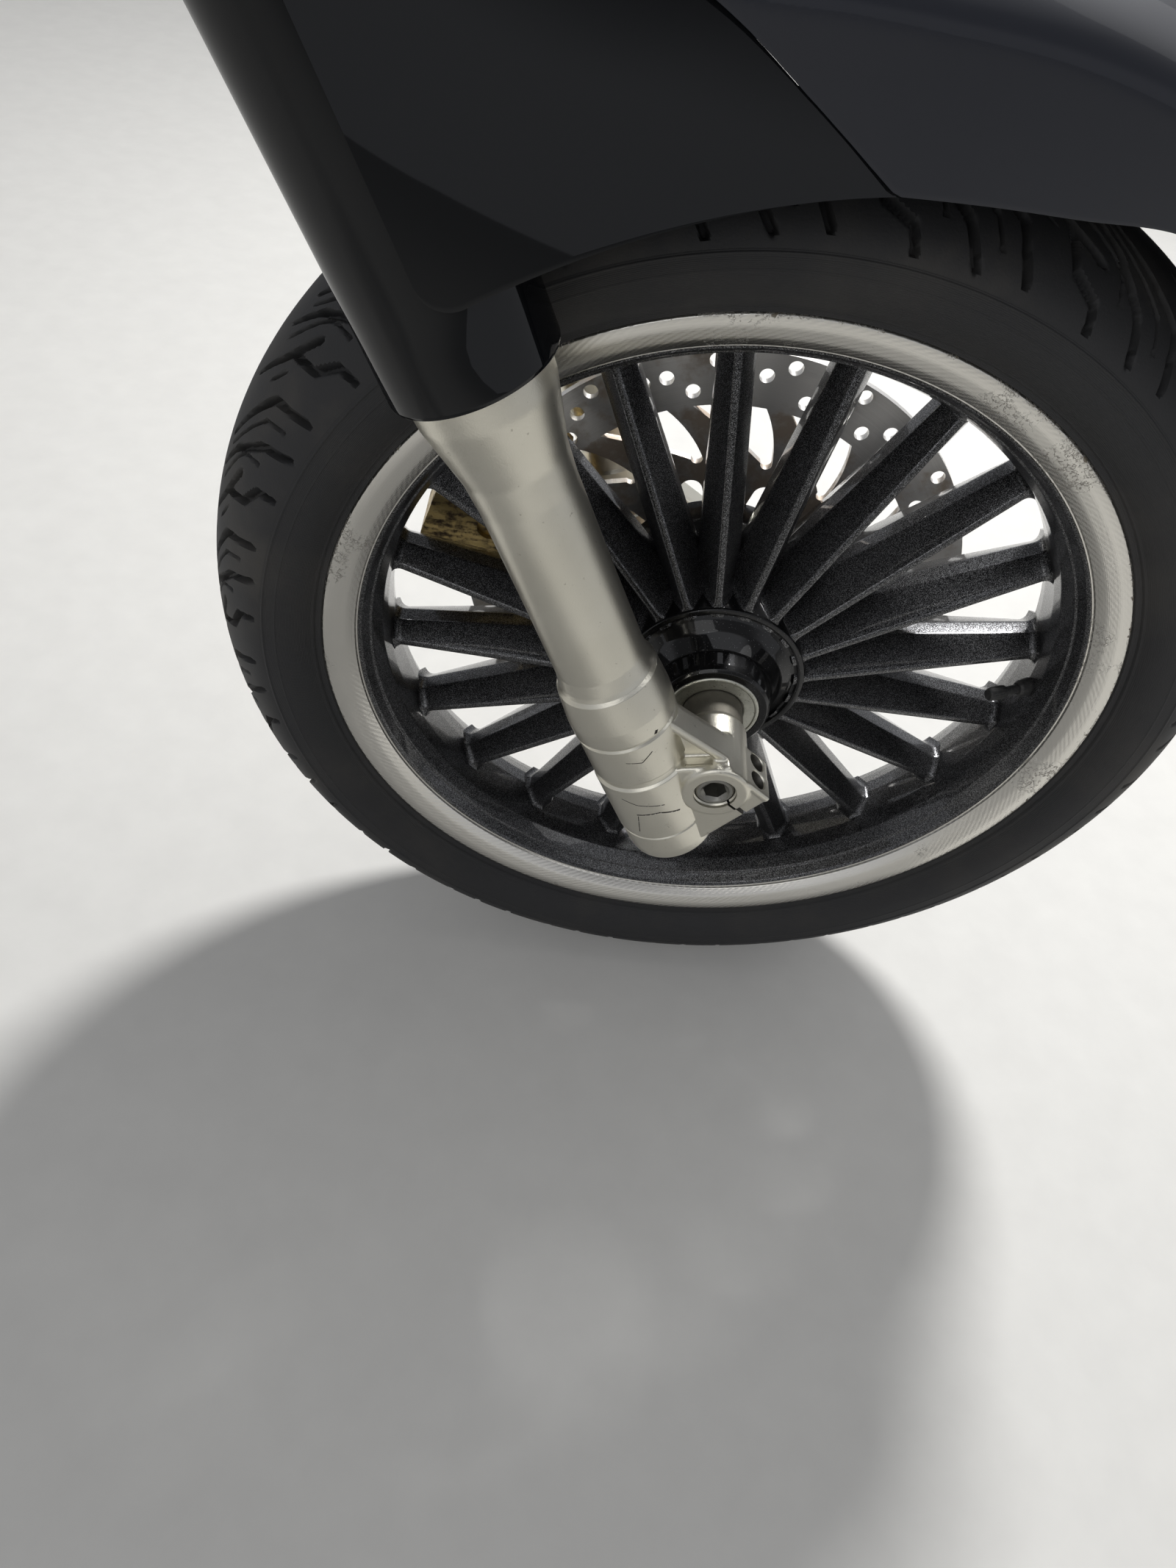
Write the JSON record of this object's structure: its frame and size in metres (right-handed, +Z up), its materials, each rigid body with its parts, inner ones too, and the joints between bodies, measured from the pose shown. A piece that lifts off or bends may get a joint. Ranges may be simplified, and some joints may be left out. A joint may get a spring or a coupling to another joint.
{
  "type": "motor scooter front wheel and telescopic fork",
  "caption": "Cast multi-spoke front wheel with tyre and brake disc, spinning on the axle of a telescopic fork with leg covers and mudguard.",
  "frame": {"origin": "centre of the lower bearing seat on the steering stem, at its bottom shoulder", "axes": "+X forward, +Y to the rider's left, +Z up, as the scooter stands; the stem leans back by 26.5 degrees"},
  "size_m": [0.66, 0.259, 0.9141],
  "materials": {
    "tyre": "matt rubber",
    "wheel_black": "gloss black with fine metal flake, bare turned lip",
    "disc_steel": "ground steel with rust tints",
    "slider_silver": "satin silver",
    "chrome": "hard chrome",
    "steel": "dull plated steel",
    "cast_black": "satin black",
    "caliper_gold": "worn gold anodising",
    "pad": "dull",
    "rubber": "matt",
    "cover_black": "gloss black",
    "guard_blue": "dark blue paint"
  },
  "bodies": {
    "fork": {"axle": "steel", "axle_spacer_right": "steel", "axle_spacer_left": "steel", "slider_right": "slider_silver", "slider_left": "slider_silver", "stanchion_right": "chrome", "stanchion_left": "chrome", "dust_seal_right": "rubber", "dust_seal_left": "rubber", "clamp_bolts": "steel", "steering_stem": "steel", "fork_crown": "cast_black", "crown_bolt_right": "steel", "crown_bolt_left": "steel", "brake_caliper": "caliper_gold", "caliper_bolts": "steel", "brake_pad_inboard": "pad", "brake_pad_outboard": "pad", "mudguard_front": "guard_blue", "mudguard_side_right": "cover_black", "mudguard_side_left": "cover_black"},
    "wheel": {"tyre": "tyre", "cast_wheel": "wheel_black", "brake_disc": "disc_steel", "disc_bolts": "steel", "wheel_bearing_right": "steel", "wheel_bearing_left": "steel", "hub_seal_right": "steel", "hub_seal_left": "steel", "valve": "rubber"}
  },
  "joints": [
    {"name": "wheel_spin", "type": "hinge", "parent": "fork", "child": "wheel", "pos_m": [0.26785, 0, -0.42516], "axis": [0, 1, 0], "continuous": true}
  ]
}
